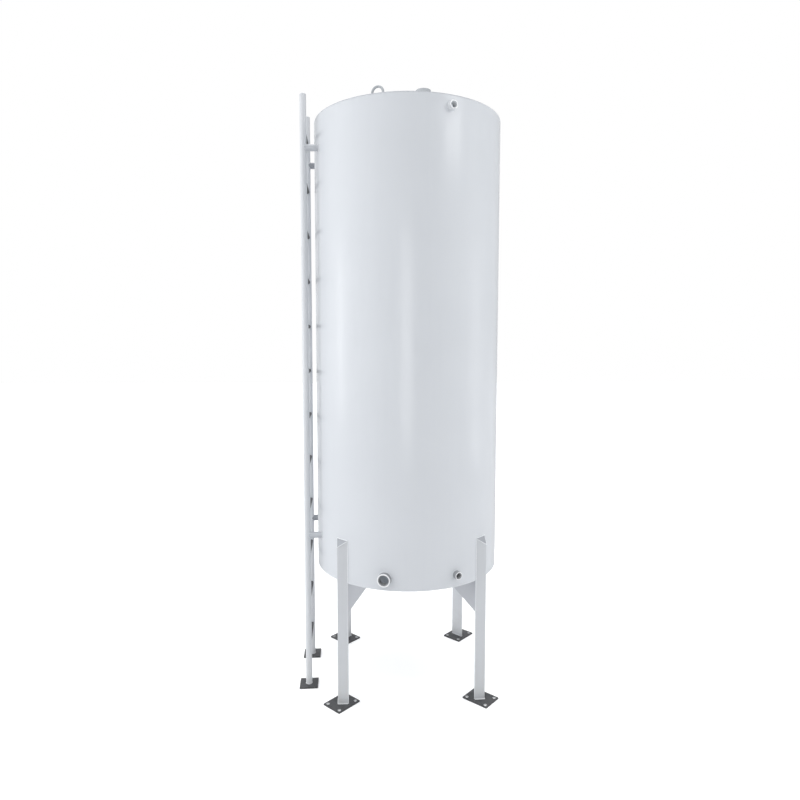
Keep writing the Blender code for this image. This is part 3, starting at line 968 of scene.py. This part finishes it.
def makeLadder():
    tube, bar, foot = makeStringer(), makeRung(), makeLadderFoot()
    for side, y in ladderSides.items():
        place = atLadder @ Matrix.Translation((0, y, 0))
        dress(copyTo(tube, "stringer_" + side, place), "ladder", "ladder_paint", "ladder_stringer_" + side)
        dress(copyTo(foot, "ladderPad_" + side, place), "base plate", "ladder_foot_steel",
              "ladder_foot_" + side)
        stub = makeBracket(y)
        for level, height in ladder["brackets"].items():
            place = atLadder @ Matrix.Translation((0, y, height))
            dress(copyTo(stub, "stub_%s_%s" % (level, side), place), ladder["bracketFinish"][side],
                  "ladder_paint", "bracket_%s_%s" % (level, side))
        throwAway(stub)
    for number, height in enumerate(rungHeights, 1):
        place = atLadder @ Matrix.Translation((0, 0, height))
        dress(copyTo(bar, "rungBar_%02d" % number, place), "rung", "rung_steel", "ladder_rung_%02d" % number)
    for piece in (tube, bar, foot):
        throwAway(piece)
    weldLadder()


print("hanging the ladder")
makeLadder()

# Lifting eyes: round bar bent to a loop and welded to the roof by both ends
eye = {"angles": {"front": 244.7, "back": 64.7}, "radius": 0.480, "bend": 0.0350, "bar": 0.0075,
       "top": 3.8000, "bead": 0.0030}


def makeEye():
    roof = roofAt(eye["radius"])
    spring = eye["top"] - eye["bend"] - eye["bar"]
    deselect()
    bpy.ops.mesh.primitive_torus_add(major_segments=64, minor_segments=24, major_radius=eye["bend"],
                                     minor_radius=eye["bar"], rotation=(0, math.pi / 2, 0),
                                     location=(0, 0, spring))
    loop = fresh("eye")
    cutOff(loop, (0, 0, spring), (0, 0, -1), fill=False)
    pickEdges(loop, lambda p: abs(p.z - spring) < 0.0001)
    pull(z=roof + 0.0006 - spring)
    bpy.ops.mesh.edge_face_add()
    faceOut(loop)
    return loop


def makeEyes():
    loop = makeEye()
    paths = []
    for side, degrees in eye["angles"].items():
        place = Matrix.Translation(onRing(eye["radius"], math.radians(degrees))) @ spun(degrees)
        dress(copyTo(loop, "liftingLoop_" + side, atTank @ place), "eye", "eye_paint", "lifting_eye_" + side)
        for end in (-1, 1):
            foot = place @ Vector((0, end * eye["bend"], 0))
            ring = ringPath(eye["bar"], lambda turn: onRoof(
                foot + onRing(eye["bar"] + weld["lift"], turn), 0.001))
            paths.append((ring, eye["bead"], True))
    throwAway(loop)
    weldPiece("weldsEyes", paths, "eye_paint", "weld bead")


print("bending the lifting eyes")
makeEyes()

# Floor, light and camera. The ramp gives the room's level round the horizon: 0.25 is the left, 0.5 the
# camera's side and 0.75 the right
floorLook = {
    "size": 60.0, "roughness": 0.9, "tones": ((0.94, 0.94, 0.943, 1), (0.95, 0.95, 0.95, 1)), "glow": 0.13,
    "bounce": (0.80, 0.80, 0.81, 1), "glossBounce": (0.45, 0.45, 0.46, 1),
}
studio = {
    "strength": 2.62, "zenith": (0.88, 0.885, 0.89, 1), "zenithFrom": 0.5,
    "ramp": [(0.0, 0.22), (0.15, 0.30), (0.27, 0.70), (0.36, 0.50), (0.44, 0.25), (0.53, 0.10),
             (0.60, 0.12), (0.67, 0.24), (0.73, 0.28), (0.79, 0.15), (1.0, 0.20)],
    "tint": (1, 1.01, 1.025),
}
# Panels: side in degrees, distance, low and high edge, width, radiance, and the sight they are taken out of.
# The cards that only the gloss shows are the soft stripes down the left, middle and right of the wall
panels = {
    "left fill": (-85, 4.0, 0.95, 3.3, 1.3, 1.8, "visible_glossy"),
    "right fill": (87, 4.0, 1.2, 3.3, 0.8, 6.5, "visible_glossy"),
    "high right panel": (52, 4.5, 4.45, 6.1, 1.6, 3.4, "visible_camera"),
    "left card": (-82, 4.0, 1.4, 3.3, 0.6, 1.7, "visible_diffuse"),
    "front card": (0, 5.0, 1.0, 3.6, 1.1, 2.4, "visible_diffuse"),
    "right card": (87, 4.0, 0.95, 3.3, 0.8, 2.0, "visible_diffuse"),
}
insideGlow = {"height": 2.9, "power": 13.0, "size": 0.25}
view = {"place": (-0.303615, -4.235662, 2.2945), "down": 0.0808016, "aside": 0.0505616,
        "lens": 27.9938, "sensor": 36, "shift": (0.00813625, -0.0103275)}


def makeFloor():
    deselect()
    bpy.ops.mesh.primitive_plane_add(size=floorLook["size"], location=(0, 0, 0))
    floor = fresh("studioFloor")
    material, tree, shader = startMaterial("pale floor")
    soft = addNoise(tree, (-300, 0), 0.7, 2)
    tone = addMix(tree, (100, 0), addRange(tree, (-100, 0), soft, 0.3, 0.7, 0, 1), *floorLook["tones"])
    light = addNode(tree, "ShaderNodeLightPath", (-100, 300))
    bounced = addMix(tree, (150, 300), light.outputs["Is Glossy Ray"], floorLook["bounce"],
                     floorLook["glossBounce"])
    seen = addMix(tree, (400, 100), light.outputs["Is Camera Ray"], bounced, tone)
    lift = addMath(tree, "MULTIPLY", (400, -200), light.outputs["Is Camera Ray"], floorLook["glow"])
    feed(tree, shader.inputs["Base Color"], seen)
    feed(tree, shader.inputs["Emission Strength"], lift)
    shader.inputs["Emission Color"].default_value = (1, 1, 1, 1)
    shader.inputs["Roughness"].default_value = floorLook["roughness"]
    floor.data.materials.append(material)
    deselect()


def makeStudio():
    # A wide soft room: its walls by the ramp, brighter overhead, plain white where the camera sees it
    scene = bpy.context.scene
    scene.view_settings.view_transform = "Standard"
    world = bpy.data.worlds.new("soft studio")
    world.use_nodes = True
    scene.world = world
    tree = world.node_tree
    tree.nodes.clear()
    coordinates = addNode(tree, "ShaderNodeTexCoord", (-1400, 0))
    parts = addNode(tree, "ShaderNodeSeparateXYZ", (-1200, 0), {"Vector": coordinates.outputs["Generated"]})
    front = addMath(tree, "MULTIPLY", (-1000, -100), parts.outputs["Y"], -1)
    around = addMath(tree, "ARCTAN2", (-800, 0), parts.outputs["X"], front)
    around = addRange(tree, (-600, 0), around, -math.pi, math.pi, 0, 1)
    ramp = addNode(tree, "ShaderNodeValToRGB", (-400, 0), {"Fac": around})
    ramp.color_ramp.interpolation = "EASE"
    elements = ramp.color_ramp.elements
    while len(elements) < len(studio["ramp"]):
        elements.new(0.5)
    for element, (place, level) in zip(elements, studio["ramp"]):
        element.position = place
        element.color = (*(level * part for part in studio["tint"]), 1)
    height = addRange(tree, (-600, -300), parts.outputs["Z"], studio["zenithFrom"], 1.0, 0, 1)
    above = addMix(tree, (0, 0), height, ramp.outputs["Color"], studio["zenith"])
    room = addNode(tree, "ShaderNodeBackground", (200, 0), {"Color": above, "Strength": studio["strength"]})
    white = addNode(tree, "ShaderNodeBackground", (200, -200), {"Color": (1, 1, 1, 1)})
    light = addNode(tree, "ShaderNodeLightPath", (200, 300))
    mix = addNode(tree, "ShaderNodeMixShader", (450, 0), {
        0: light.outputs["Is Camera Ray"], 1: room.outputs[0], 2: white.outputs[0]})
    addNode(tree, "ShaderNodeOutputWorld", (650, 0), {"Surface": mix.outputs[0]})


def makeLamp(name, kind, place, power, **settings):
    deselect()
    bpy.ops.object.light_add(type=kind, location=place, **settings)
    lamp = bpy.context.object
    lamp.name = name
    lamp.data.energy = power
    return lamp


def makePanel(name, side, distance, low, high, width, radiance, sight):
    # A soft panel that faces the tank from one side: 0 is the camera's side, 90 the right
    centre = tank["axis"] + onRing(distance, math.radians(side - 94.1), (low + high) / 2)
    facing = (tank["axis"] + Vector((0, 0, centre.z)) - centre).to_track_quat("-Z", "Y")
    lamp = makeLamp(name, "AREA", centre, radiance * math.pi * width * (high - low),
                    rotation=facing.to_euler())
    lamp.data.shape = "RECTANGLE"
    lamp.data.size = width
    lamp.data.size_y = high - low
    lamp.visible_camera = False
    setattr(lamp, sight, False)


def makeCamera():
    deselect()
    bpy.ops.object.camera_add(location=tank["axis"] + Vector(view["place"]),
                              rotation=(math.pi / 2 - view["down"], 0, -view["aside"]))
    camera = bpy.context.object
    camera.name = "camera"
    camera.data.lens = view["lens"]
    camera.data.sensor_width = view["sensor"]
    camera.data.shift_x, camera.data.shift_y = view["shift"]
    bpy.context.scene.camera = camera


print("lighting the studio")
makeFloor()
makeStudio()
for name, panel in panels.items():
    makePanel(name, *panel)
glow = makeLamp("tank inside glow", "POINT", tank["axis"] + Vector((0, 0, insideGlow["height"])),
                insideGlow["power"])
glow.data.shadow_soft_size = insideGlow["size"]
makeCamera()
deselect()

print("finished")
